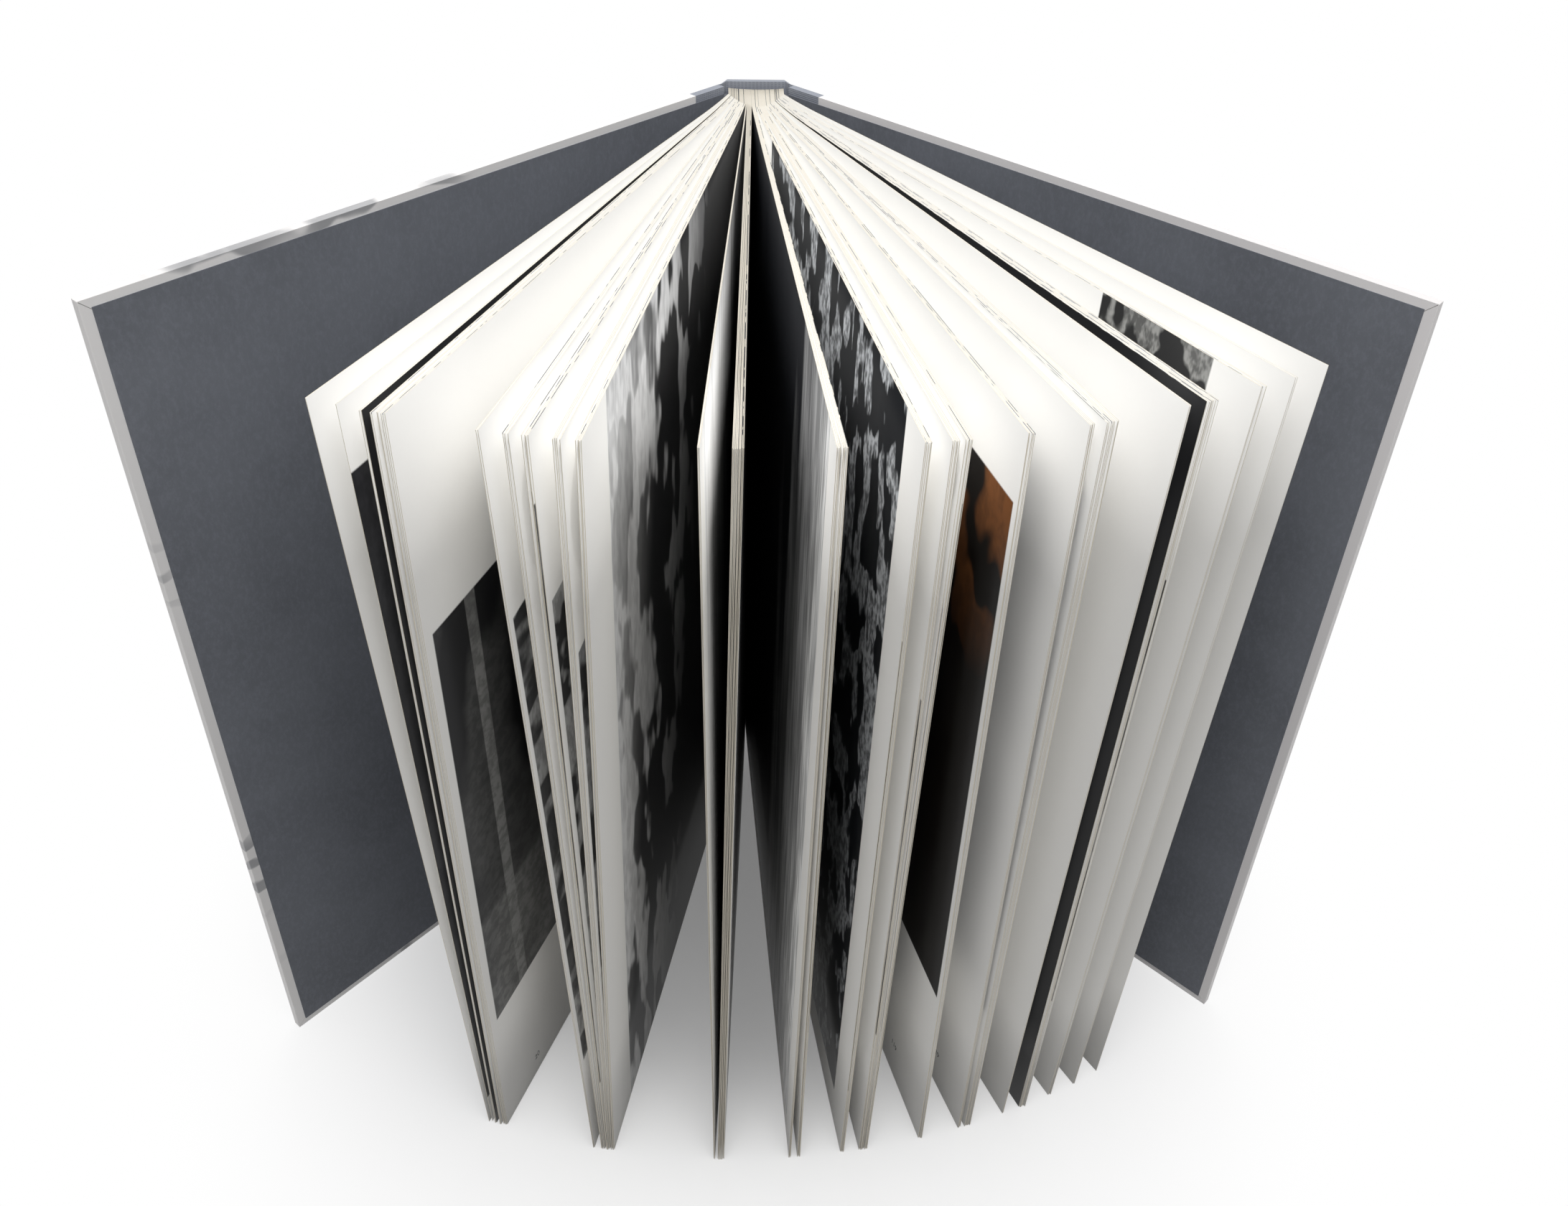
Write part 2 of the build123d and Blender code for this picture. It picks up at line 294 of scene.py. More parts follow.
def shell_faces(leaves, rows, columns):
    """Triangles of the sheets' sides, fore-edge and back, row by row, then their tail and head edges.
    Both faces of a sheet are cut along the same diagonals, so that a twisted sheet keeps its thickness.
    Gives the triangles and what each is: 0 left face, 1 right face, 2 cut edge, with its leaf."""
    around = 2 * columns
    ring = np.arange(around)
    after = (ring + 1) % around
    level = np.arange(rows - 1)[:, None] * around
    low, high = level + ring, level + around + ring
    low_after, high_after = level + after, level + around + after
    left = ring < columns - 1
    right = (ring >= columns) & (ring < around - 1)
    turned = np.where(right, 1, 0)
    corners = np.stack([low, high, high_after, low_after, low, high], -1)
    pick = np.where(turned[:, None], (1, 2, 3, 1, 3, 4), (0, 1, 2, 0, 2, 3))
    sides = np.take_along_axis(corners, np.broadcast_to(pick, (rows - 1, around, 6)), -1).reshape(-1, 3)
    kind = np.tile(np.repeat(np.where(left, 0, np.where(right, 1, CUT_EDGE)), 2), rows - 1)
    step = np.arange(columns - 1)
    facing = around - 1 - step
    cap = np.stack([step, step + 1, facing - 1, step, facing - 1, facing], -1).reshape(-1, 3)
    faces = np.concatenate([sides, cap, cap[:, ::-1] + (rows - 1) * around])
    kind = np.concatenate([kind, np.full(2 * len(cap), CUT_EDGE)])
    every = (faces[None] + (np.arange(leaves) * rows * around)[:, None, None]).reshape(-1, 3)
    return every[:, ::-1], np.tile(kind, leaves), np.repeat(np.arange(leaves), len(faces))


def new_piece(name, vertices, faces, material, smooth=None):
    """A mesh object at the origin from arrays of corners and faces."""
    mesh = bpy.data.meshes.new(name)
    mesh.from_pydata(np.asarray(vertices).reshape(-1, 3), [], np.asarray(faces).tolist())
    mesh.polygons.foreach_set("use_smooth", np.ones(len(mesh.polygons), bool) if smooth is None else smooth)
    mesh.update()
    piece = bpy.data.objects.new(name, mesh)
    bpy.context.scene.collection.objects.link(piece)
    mesh.materials.append(material)
    return piece


def page_number(number, leaf, side, centre, material):
    """A plain number standing on a leaf's face. The digits' flat outline is laid along the page: its
    across and up become shares u and v of the page, and each point is ruled between the leaf's tail
    and head."""
    solid, uv = leaf
    columns = solid.shape[1] // 2
    tip, inner = (columns, columns + 1) if side else (columns - 1, columns - 2)
    outline = bpy.data.curves.new(f"page_number_{number}", "FONT")
    outline.body = str(number)
    outline.size = PAGE_NUMBER_HEIGHT
    outline.align_x = "CENTER"
    outline.extrude = INK_THICKNESS
    digits = bpy.data.objects.new(outline.name, outline)
    mesh = bpy.data.meshes.new_from_object(digits)
    place = np.zeros(len(mesh.vertices) * 3)
    mesh.vertices.foreach_get("co", place)
    across, up, out = place.reshape(-1, 3).T
    tail, head = solid[0], solid[-1]
    tilt = tail[tip] - tail[inner]
    along = (centre[0] * TAIL_REACH + across * (-1 if side else 1)) / TAIL_REACH
    share = ((along - uv[0, inner, 0]) / (uv[0, tip, 0] - uv[0, inner, 0]))[:, None]
    rise = (centre[1] + up / PAGE_HEIGHT)[:, None]
    face = np.cross(tilt, head[tip] - tail[tip])
    face *= (-1 if side else 1) / np.linalg.norm(face)
    flipped = 1 if face[0] * (1 if side else -1) > 0 else -1
    raised = face * flipped * (out[:, None] + INK_THICKNESS)
    along_tail = tail[inner] + tilt * share
    along_head = head[inner] + (head[tip] - head[inner]) * share
    points = along_tail * (1 - rise) + along_head * rise + raised
    mesh.vertices.foreach_set("co", points.ravel())
    mesh.materials.clear()
    mesh.materials.append(material)
    mesh.update()
    bpy.data.objects.remove(digits)
    piece = bpy.data.objects.new(f"page_number_{number}", mesh)
    bpy.context.scene.collection.objects.link(piece)
    return piece


def page_layout(piece, uv, faces):
    """The page coordinates of each face corner: gutter to fore-edge, tail to head."""
    layer = piece.data.uv_layers.new(name="page")
    layer.data.foreach_set("uv", uv.reshape(-1, 2)[faces.reshape(-1)].astype(np.float32).ravel())


def face_values(piece, name, values):
    """A vector for each face, which a paper's material reads."""
    attribute = piece.data.attributes.new(name, "FLOAT_VECTOR", "FACE")
    attribute.data.foreach_set("vector", np.asarray(values, np.float32).ravel())


# Materials
class Finish:
    """A procedural material: nodes are added and joined by name, ending in one shader."""

    def __init__(self, name):
        self.material = bpy.data.materials.new(name)
        self.material.use_nodes = True
        self.tree = self.material.node_tree
        self.shader = self.tree.nodes["Principled BSDF"]

    def node(self, kind, inputs=None, **settings):
        """A node with its settings, whose inputs are joined to sockets or set to values."""
        made = self.tree.nodes.new(kind)
        for key, value in settings.items():
            setattr(made, key, value)
        for key, value in (inputs or {}).items():
            if isinstance(value, bpy.types.NodeSocket):
                self.tree.links.new(value, made.inputs[key])
            else:
                made.inputs[key].default_value = value
        return made

    def math(self, operation, first, second=0.0, third=0.0, clamp=False):
        inputs = {0: first, 1: second, 2: third}
        return self.node("ShaderNodeMath", inputs, operation=operation, use_clamp=clamp).outputs[0]

    def mix(self, share, first, second):
        """The first colour, turned into the second by a share."""
        made = self.node("ShaderNodeMix", data_type="RGBA")
        for socket, value in ((made.inputs[0], share), (made.inputs[6], first), (made.inputs[7], second)):
            if isinstance(value, bpy.types.NodeSocket):
                self.tree.links.new(value, socket)
            elif isinstance(value, (int, float)):
                socket.default_value = value
            else:
                socket.default_value = (*value, 1.0)
        return made.outputs[2]

    def noise(self, place, scale, detail=3.0, roughness=0.5):
        inputs = {"Vector": place, "Scale": scale, "Detail": detail, "Roughness": roughness}
        return self.node("ShaderNodeTexNoise", inputs).outputs[0]

    def wave(self, place, direction, scale, distortion, detail, detail_scale=1.0):
        """Bands across a direction, from 0 between them to 1 on them."""
        inputs = {
            "Vector": place, "Scale": scale, "Distortion": distortion, "Detail": detail,
            "Detail Scale": detail_scale,
        }
        made = self.node("ShaderNodeTexWave", inputs, wave_type="BANDS", bands_direction=direction)
        return made.outputs["Fac"]

    def stretched(self, place, scale):
        return self.node("ShaderNodeMapping", {"Vector": place, "Scale": scale}).outputs[0]

    def ramp(self, value, low, high):
        """A smooth rise from 0 at the low value to 1 at the high one."""
        inputs = {"Value": value, 1: low, 2: high}
        return self.node("ShaderNodeMapRange", inputs, interpolation_type="SMOOTHSTEP").outputs[0]

    def face_vector(self, name):
        """The vector that the mesh holds for each face under a name."""
        read = self.node("ShaderNodeAttribute", attribute_name=name, attribute_type="GEOMETRY")
        return read.outputs["Vector"]

    def parts(self, vector):
        return self.node("ShaderNodeSeparateXYZ", {0: vector}).outputs

    def bump(self, height, distance, strength):
        made = self.node("ShaderNodeBump", {"Height": height, "Distance": distance, "Strength": strength})
        self.tree.links.new(made.outputs[0], self.shader.inputs["Normal"])

    def finish(self, colour, roughness, **constants):
        """Ends the material: the colour's socket, a roughness, and values for the shader's own sockets."""
        self.tree.links.new(colour, self.shader.inputs["Base Color"])
        if isinstance(roughness, bpy.types.NodeSocket):
            self.tree.links.new(roughness, self.shader.inputs["Roughness"])
        else:
            self.shader.inputs["Roughness"].default_value = roughness
        for key, value in constants.items():
            self.shader.inputs[key.replace("_", " ")].default_value = value
        return self.material

    @property
    def object_place(self):
        return self.node("ShaderNodeTexCoord").outputs["Object"]


def leaf_paper(paper, edge):
    """Coated white paper with a printed field per face: an ink pair mixed by a fall and a soft mottle."""
    made = Finish("leaf_paper")
    page = made.node("ShaderNodeUVMap", uv_map="page").outputs[0]
    u, v, _ = made.parts(page)
    low_u, low_v, seed = made.parts(made.face_vector("print_low"))
    high_u, high_v, cut = made.parts(made.face_vector("print_high"))
    fall_u, fall_v, start = made.parts(made.face_vector("print_fall"))
    cells_u, cells_v, strength = made.parts(made.face_vector("print_mottle"))
    horizon, below, softness = made.parts(made.face_vector("print_horizon"))
    fine_u, fine_v, fine_strength = made.parts(made.face_vector("print_fine"))

    def cells(across, up):
        place = {0: made.math("MULTIPLY", u, across), 1: made.math("MULTIPLY", v, up), 2: seed}
        return made.node("ShaderNodeCombineXYZ", place).outputs[0]

    soft = 0.0012
    sides = [
        made.ramp(made.math("SUBTRACT", u, low_u), -soft, soft),
        made.ramp(made.math("SUBTRACT", high_u, u), -soft, soft),
        made.ramp(made.math("SUBTRACT", v, low_v), -soft, soft),
        made.ramp(made.math("SUBTRACT", high_v, v), -soft, soft),
    ]
    inside_u = made.math("MULTIPLY", sides[0], sides[1])
    inside_v = made.math("MULTIPLY", sides[2], sides[3])
    inside = made.math("MULTIPLY", inside_u, inside_v)
    mottle = made.ramp(
        made.noise(cells(cells_u, cells_v), 1.0, 2.0, 0.5),
        made.math("SUBTRACT", 0.5, softness), made.math("ADD", 0.5, softness),
    )
    fine = made.ramp(made.noise(cells(fine_u, fine_v), 1.0, 2.0, 0.6), 0.36, 0.64)
    ground = made.math("MULTIPLY", made.ramp(made.math("SUBTRACT", horizon, v), -0.01, 0.01), below)
    band_place, band_half, band_tone = made.parts(made.face_vector("print_band"))
    from_band = made.math("ABSOLUTE", made.math("SUBTRACT", u, band_place))
    from_band = made.math("SUBTRACT", band_half, from_band)
    ground = made.math("MULTIPLY_ADD", made.ramp(from_band, 0.0, 0.002), band_tone, ground)
    fall = made.math("ADD", made.math("MULTIPLY", u, fall_u), made.math("MULTIPLY", v, fall_v))
    tone = made.math("ADD", made.math("ADD", start, fall), ground)
    tone = made.math("MULTIPLY_ADD", mottle, strength, tone, clamp=True)
    shade = made.math("SUBTRACT", 1.0, made.math("MULTIPLY", fine, fine_strength))
    dark, light = made.face_vector("ink_dark"), made.face_vector("ink_light")
    picture = made.mix(made.math("MULTIPLY", tone, shade), dark, light)
    grain = made.noise(made.object_place, 900.0, 2.0)
    sheet = made.mix(made.math("MULTIPLY", grain, 0.06), paper, toned(paper, 0.8))
    printed = made.mix(inside, sheet, picture)
    fibre = made.noise(made.stretched(made.object_place, (2500, 2500, 60)), 1.0, 2.0)
    rim = made.mix(fibre, edge, toned(edge, 0.84))
    # Pictures that bleed off the head leave dark dashes along its cut edge
    dash = made.math("MULTIPLY", made.math("MULTIPLY", mottle, strength), made.ramp(v, 0.9985, 0.999))
    rim = made.mix(dash, rim, (0.03, 0.03, 0.03))
    colour = made.mix(cut, printed, rim)
    made.bump(grain, 0.00003, 0.15)
    gloss = made.math("MULTIPLY_ADD", inside, -0.12, 0.5)
    return made.finish(colour, gloss, Specular_IOR_Level=0.22)


def printing_ink():
    """Black ink, a little uneven where the paper takes it."""
    made = Finish("printing_ink")
    fleck = made.noise(made.object_place, 3000.0, 2.0)
    return made.finish(made.mix(fleck, (0.02, 0.02, 0.02), (0.07, 0.07, 0.07)), 0.5)


def endpaper(slate, white=None, cut=None):
    """Uncoated endpaper: fine pale fibres in a soft slate mottle. With white, the flyleaf's faces are
    white on the side that its attribute's first value marks, and have the cut's colour on their edges."""
    made = Finish("endpaper" if white is None else "flyleaf_paper")
    place = made.object_place
    cloudy = made.noise(place, 16.0, 6.0, 0.65)
    fibre = made.noise(made.stretched(place, (700, 700, 420)), 1.0, 4.0, 0.75)
    colour = made.mix(made.ramp(cloudy, 0.32, 0.7), toned(slate, 1.06), toned(slate, 0.84))
    colour = made.mix(made.math("MULTIPLY", made.ramp(fibre, 0.4, 0.7), 0.3), colour, toned(slate, 1.45))
    if white is not None:
        inner, rim, _ = made.parts(made.face_vector("flyleaf_side"))
        colour = made.mix(inner, colour, white)
        colour = made.mix(rim, colour, cut)
    made.bump(fibre, 0.00004, 0.25)
    return made.finish(colour, 0.72, Specular_IOR_Level=0.3)


def book_cloth(thread):
    """Fine book cloth: two crossed sets of threads, with painted shade in the gaps between them, so they
    look lighter on their crowns.
    """
    made = Finish("book_cloth")
    place = made.object_place
    threads = {"scale": 480.0, "distortion": 0.6, "detail": 1.0}
    upright = made.wave(made.stretched(place, (1, 1, 0.02)), "DIAGONAL", **threads)
    level = made.wave(place, "Z", **threads)
    weave_and_painted_shade = made.math("MAXIMUM", upright, level)
    cloudy = made.noise(place, 60.0, 3.0)
    # Painted shade: the gaps between the threads are darkened, and the crowns keep the thread's colour
    colour = made.mix(weave_and_painted_shade, toned(thread, 0.66), thread)
    colour = made.mix(made.math("MULTIPLY", cloudy, 0.3), colour, toned(thread, 1.35))
    made.bump(weave_and_painted_shade, 0.00012, 0.5)
    return made.finish(colour, 0.8, Sheen_Weight=0.15, Specular_IOR_Level=0.3)


def grey_board(tone):
    """Bookboard: pressed grey fibres."""
    made = Finish("bookboard")
    fleck = made.noise(made.object_place, 700.0, 4.0, 0.7)
    colour = made.mix(fleck, toned(tone, 0.8), tone)
    made.bump(fleck, 0.0001, 0.3)
    return made.finish(colour, 0.9)


def cover_paper(name, tone, ink=None):
    """Matt laminated cover paper. With ink, loose wavy bands of it wander over the paper and round
    its edges."""
    made = Finish(name)
    place = made.object_place
    cloudy = made.noise(place, 9.0, 3.0)
    colour = made.mix(made.math("MULTIPLY", cloudy, 0.12), tone, toned(tone, 0.8))
    if ink is not None:
        stretched = made.stretched(place, (1, 1, 1.6))
        wave = made.wave(stretched, "Z", scale=16.0, distortion=8.0, detail=3.0, detail_scale=1.6)
        patches = made.ramp(made.noise(place, 18.0, 2.0), 0.5, 0.62)
        colour = made.mix(made.math("MULTIPLY", made.ramp(wave, 0.62, 0.9), patches), colour, ink)
    fine = made.noise(place, 1200.0, 2.0)
    made.bump(fine, 0.00003, 0.2)
    return made.finish(colour, 0.42, Specular_IOR_Level=0.45)


def cover_frame(name):
    """A cover's fold axis, the way it points from there and the way its outer face looks, in plan."""
    side = COVER_SIDE[name]
    opened = OPENING[name]
    direction = np.array([side * sin(opened), -cos(opened)])
    outward = np.array([side * cos(opened), sin(opened)])
    middle = np.array([side * FOLD_MIDDLE[0], FOLD_MIDDLE[1]])
    return middle + outward * FOLD_RADIUS, direction, outward, middle


def rounded_path(corners, round_length, steps=8, count=24):
    """A polyline whose inner corners are rounded: each is a quadratic curve that starts and ends
    round_length from the corner, so it keeps to both runs. It comes back as evenly spaced points."""
    corners = [np.asarray(c, float) for c in corners]
    share = np.linspace(0, 1, steps + 1)[:, None]
    runs = [corners[0][None]]
    for before, corner, after in zip(corners, corners[1:], corners[2:]):
        start = corner + (before - corner) / np.linalg.norm(before - corner) * round_length
        end = corner + (after - corner) / np.linalg.norm(after - corner) * round_length
        runs.append((1 - share) ** 2 * start + 2 * share * (1 - share) * corner + share**2 * end)
    runs.append(corners[-1][None])
    line = np.concatenate(runs)
    passed = np.concatenate([[0], np.cumsum(np.linalg.norm(np.diff(line, axis=0), axis=1))])
    even = np.linspace(0, passed[-1], count)
    return np.stack([np.interp(even, passed, line[:, k]) for k in (0, 1)], -1)


def upright_strip(name, path, thickness, low, high, material):
    """A sheet stood on edge: the path moved half a thickness to each side, carried from low to high.
    A path that runs the other way round gives a negative volume, and its faces are turned."""
    rows = 2
    heading = np.gradient(path, axis=0)
    heading /= np.linalg.norm(heading, axis=1, keepdims=True)
    normal = np.stack([-heading[:, 1], heading[:, 0]], -1)
    outline = np.concatenate([path + normal * thickness / 2, (path - normal * thickness / 2)[::-1]])
    level = np.linspace(low, high, rows)
    plan = np.broadcast_to(outline[None], (rows, *outline.shape))
    lift = np.broadcast_to(level[:, None, None], (rows, len(outline), 1))
    solid = np.concatenate([plan, lift], -1)
    faces, kind, _ = shell_faces(1, rows, len(path))
    corners = solid.reshape(-1, 3)[faces]
    first, second, third = corners[:, 0], corners[:, 1], corners[:, 2]
    volume = np.einsum("ij,ij->i", np.cross(second - first, third - first), first).sum()
    if volume < 0:
        faces = faces[:, ::-1]
    return new_piece(name, solid, faces, material, kind < CUT_EDGE)


def broad_lamp(name, size, power, place, target):
    """A square lamp at a place, turned to look at its target."""
    light = bpy.data.lights.new(name, "AREA")
    light.shape = "SQUARE"
    light.size = size
    light.energy = power
    lamp = bpy.data.objects.new(name, light)
    bpy.context.scene.collection.objects.link(lamp)
    lamp.location = place
    lamp.rotation_euler = (Vector(target) - lamp.location).to_track_quat("-Z", "Y").to_euler()


class LeafSettings(bpy.types.PropertyGroup):
    thickness: FloatProperty(
        name="Leaf Thickness", description="Thickness of one leaf", default=0.00015, unit="LENGTH"
    )
    spread: FloatProperty(
        name="Spread", description="Share of each group's spread that its leaves take up", default=1.0
    )
    ragged: FloatProperty(
        name="Ragged Edge", description="Most that a leaf's fore-edge is set back",
        default=0.0006, unit="LENGTH",
    )
    seed: IntProperty(
        name="Seed", description="Seed of the spread and of the hidden leaves' prints", default=7
    )
    paper: FloatVectorProperty(
        name="Paper", description="Colour of the leaves",
        subtype="COLOR", size=3, default=(0.90, 0.888, 0.858),
    )
    edge: FloatVectorProperty(
        name="Cut Edge", description="Colour of the leaves' cut edges",
        subtype="COLOR", size=3, default=(0.80, 0.735, 0.61),
    )


class CaseSettings(bpy.types.PropertyGroup):
    slate: FloatVectorProperty(
        name="Endpaper", description="Colour of the slate endpapers",
        subtype="COLOR", size=3, default=(0.178, 0.189, 0.214),
    )
    thread: FloatVectorProperty(
        name="Cloth", description="Colour of the spine's book cloth",
        subtype="COLOR", size=3, default=(0.30, 0.32, 0.37),
    )
    front_paper: FloatVectorProperty(
        name="Front Paper", description="Colour of the front cover's paper",
        subtype="COLOR", size=3, default=(0.89, 0.872, 0.86),
    )
    back_paper: FloatVectorProperty(
        name="Back Paper", description="Colour of the back cover's paper",
        subtype="COLOR", size=3, default=(0.87, 0.845, 0.84),
    )
    ink: FloatVectorProperty(
        name="Cover Ink", description="Colour of the front cover's wavy print",
        subtype="COLOR", size=3, default=(0.40, 0.40, 0.41),
    )
    board: FloatVectorProperty(
        name="Board", description="Colour of the bookboard",
        subtype="COLOR", size=3, default=(0.45, 0.43, 0.40),
    )


class StageSettings(bpy.types.PropertyGroup):
    floor: FloatVectorProperty(
        name="Floor", description="Colour of the floor",
        subtype="COLOR", size=3, default=(0.93, 0.93, 0.93),
    )
    zenith: FloatProperty(
        name="Zenith Light", description="Strength of the soft light from straight above", default=0.7
    )
    horizon: FloatProperty(
        name="Horizon Light", description="Strength of the soft light from the sides", default=0.14
    )
    bounce: FloatProperty(
        name="Floor Bounce", description="Share of its light that the floor gives back to the book",
        default=0.5,
    )
    lamp: FloatProperty(
        name="Overhead Lamp", description="Power of the broad lamp above the book, in watts", default=4.2
    )
    fill: FloatProperty(
        name="Back Fill", description="Power of the broad lamp behind the book, in watts", default=4.5
    )


class PHOTOBOOK_OT_leaves(bpy.types.Operator):
    """Stand the fanned leaves in the text block's place"""

    bl_idname = "photobook.leaves"
    bl_label = "Fanned Leaves"

    def execute(self, context):
        settings = context.scene.photobook_leaves
        chance = np.random.default_rng(settings.seed)
        names = [row[0] for row in FAN]
        counts = [row[1] for row in FAN]
        group = np.repeat(np.arange(len(FAN)), counts)
        place = np.concatenate([np.arange(n) for n in counts])
        size = fan_rows("leaves")

        def outer_leaf(g, side):
            """Marks the leaf whose left (0) or right (1) face looks out of the group."""
            return (group == g) & (place == (size - 1 if side else 0))

        # Uneven steps from leaf to leaf, scaled to take up each group's spread
        step = STEP_LEAST + chance.exponential(STEP_MORE, LEAF_COUNT)
        reached = np.cumsum(step)
        first = reached[np.cumsum([0] + counts[:-1])]
        within = reached - first[group]
        most = np.array([within[group == g].max() for g in range(len(FAN))])[group]
        share = np.where(most > 0, within / np.where(most > 0, most, 1) - 0.5, 0)
        spread = share * fan_rows("spread") * settings.spread
        root = -BLOCK_HALF + (np.arange(LEAF_COUNT) + 0.5) * LEAF_PITCH
        lean_head = fan_rows("lean_head") + spread
        lean_tail = fan_rows("lean_tail") + spread * TAIL_SPREAD
        trim = chance.uniform(0, settings.ragged, LEAF_COUNT)
        solid, uv = leaf_shells(root, lean_head, lean_tail, trim, settings.thickness)
        _, rows, around, _ = solid.shape
        faces, kind, leaf = shell_faces(LEAF_COUNT, rows, around // 2)
        material = leaf_paper(tuple(settings.paper), tuple(settings.edge))
        piece = new_piece("leaves", solid, faces, material, kind < CUT_EDGE)
        page_layout(piece, uv, faces)

        # One row of print values for each leaf's left face, right face and cut edges
        value = PRINT_VALUES.index
        table = np.broadcast_to(BLANK_PAGE, (LEAF_COUNT, 3, *BLANK_PAGE.shape)).copy()
        # Leaves inside the groups carry plain grey fields, and about a third of their pages are blank
        filled = chance.uniform(0, 1, (LEAF_COUNT, 2)) > BLANK_SHARE
        inner = np.broadcast_to(INNER_PAGE, (LEAF_COUNT, 2, *INNER_PAGE.shape)).copy()
        inner[..., value("print_low"), :2] += chance.uniform(-0.1, 0.1, (LEAF_COUNT, 2, 2))
        inner[..., value("print_high"), :2] += chance.uniform(-0.1, 0.15, (LEAF_COUNT, 2, 2))
        table[:, :2] = np.where(filled[..., None, None], inner, table[:, :2])
        # The faces that look into the fan's gaps are blank but for the printed ones listed above
        for g in range(len(FAN)):
            side = int(g < RIGHT_SHOWING_GROUPS)
            table[outer_leaf(g, side), side] = BLANK_PAGE
        for name, side, box, *values in PRINTS:
            shown = outer_leaf(names.index(name), side)
            table[shown, side] = [(box[0], box[2], 0), (box[1], box[3], 0), *values]
        table[..., value("print_low"), 2] = chance.uniform(0, MOTTLE_SEEDS, (LEAF_COUNT, 3))
        # The cut edges are marked, and some of them are dashed along the head
        dashed = chance.uniform(0, 1, LEAF_COUNT) < DASHED_SHARE
        dashes = [np.full(LEAF_COUNT, DASH_CELLS), np.zeros(LEAF_COUNT), dashed]
        table[:, CUT_EDGE, value("print_high"), 2] = 1.0
        table[:, CUT_EDGE, value("print_mottle")] = np.stack(dashes, -1)
        table[:, CUT_EDGE, value("print_horizon"), 2] = DASH_SOFTNESS
        for index, name in enumerate(PRINT_VALUES):
            face_values(piece, name, table[leaf, kind, index])
        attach(piece, "text_block")
        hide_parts("pages")

        # A left face is an odd page and a right face the even one behind it
        ink = printing_ink()
        for name, side, centre in PAGE_NUMBERS:
            shown = np.flatnonzero(outer_leaf(names.index(name), side))[0]
            number = page_number(2 * shown + 1 + side, (solid[shown], uv[shown]), side, centre, ink)
            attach(number, "text_block")
        return {"FINISHED"}


class PHOTOBOOK_OT_flyleaves(bpy.types.Operator):
    """Stand the free halves of the two endpapers beside the leaves"""

    bl_idname = "photobook.flyleaves"
    bl_label = "Flyleaves"

    def execute(self, context):
        case = context.scene.photobook_case
        leaves = context.scene.photobook_leaves
        material = endpaper(tuple(case.slate), tuple(leaves.paper), tuple(leaves.edge))
        for name, side in COVER_SIDE.items():
            head, tail = FLYLEAF_LEAN[name]
            root = np.array([side * ENDPAPER_ROOT])
            leans = np.array([head]), np.array([tail])
            solid, uv = leaf_shells(root, *leans, np.zeros(1), FLYLEAF_THICKNESS)
            faces, kind, _ = shell_faces(1, solid.shape[1], solid.shape[2] // 2)
            piece = new_piece(f"{name}_flyleaf_sheet", solid, faces, material, kind < CUT_EDGE)
            inner = kind == (1 if side < 0 else 0)
            face_values(piece, "flyleaf_side", np.stack([inner, kind == CUT_EDGE, np.zeros(len(kind))], -1))
            page_layout(piece, uv, faces)
            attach(piece, "text_block")
            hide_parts(f"{name}_flyleaf")
        return {"FINISHED"}


class PHOTOBOOK_OT_case(bpy.types.Operator):
    """Give the boards, cover papers, cloth and pastedowns their finishes"""

    bl_idname = "photobook.case"
    bl_label = "Case Finishes"

    def execute(self, context):
        case = context.scene.photobook_case
        slate = endpaper(tuple(case.slate))
        cloth = book_cloth(tuple(case.thread))
        board = grey_board(tuple(case.board))
        front = cover_paper("front_cover_paper", tuple(case.front_paper), tuple(case.ink))
        back = cover_paper("back_cover_paper", tuple(case.back_paper))
        finishes = {
            "spine_cloth": cloth, "front_cloth": cloth, "back_cloth": cloth,
            "spine_board": board, "front_board": board, "back_board": board,
            "front_pastedown": slate, "back_pastedown": slate,
            "front_cover_paper": front, "back_cover_paper": back,
            "spine_lining": cover_paper("lining_paper", tuple(case.front_paper)),
        }
        for name, material in finishes.items():
            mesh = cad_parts[name].data
            mesh.materials.clear()
            mesh.materials.append(material)
        return {"FINISHED"}


class PHOTOBOOK_OT_folds(bpy.types.Operator):
    """Bridge the two cover folds with cloth and with the endpapers"""

    bl_idname = "photobook.folds"
    bl_label = "Cover Folds"

    def execute(self, context):
        cloth = bpy.data.materials["book_cloth"]
        slate = bpy.data.materials["endpaper"]
        for name, side in COVER_SIDE.items():
            axis, direction, outward, middle = cover_frame(name)
            corner = np.array([side * SPINE_CORNER[0], SPINE_CORNER[1]])
            strip = middle - outward * HALF_COVERING - corner
            strip = strip / np.linalg.norm(strip)
            strip_out = np.array([strip[1], -strip[0]])
            strip_out = strip_out if strip_out @ outward > 0 else -strip_out
            lap = corner + strip_out * HALF_COVERING + strip * CLOTH_SPINE_LAP
            path = rounded_path([lap, middle, middle + direction * CLOTH_BOARD_LAP], CLOTH_BEND)
            low, high = CLOTH_SET_IN, CASE_HEIGHT - CLOTH_SET_IN
            piece = upright_strip(f"{name}_cloth_fold", path, CLOTH_THICKNESS, low, high, cloth)
            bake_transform(piece)

            # The endpaper runs on from the pastedown's edge and turns into the flyleaf
            inner = axis - outward * PASTEDOWN_LEVEL
            root = side * ENDPAPER_ROOT
            turn = inner + direction * (root - inner[0]) / direction[0]
            foot = np.array([root, turn[1] + FOLD_PAPER_FOOT])
            path = rounded_path([foot, turn, inner + direction * FOLD_PAPER_LAP], FOLD_PAPER_BEND)
            low, high = FOLD_PAPER_LOW, FOLD_PAPER_HIGH
            piece = upright_strip(f"{name}_endpaper_fold", path, FOLD_PAPER_THICKNESS, low, high, slate)
            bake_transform(piece)
        return {"FINISHED"}


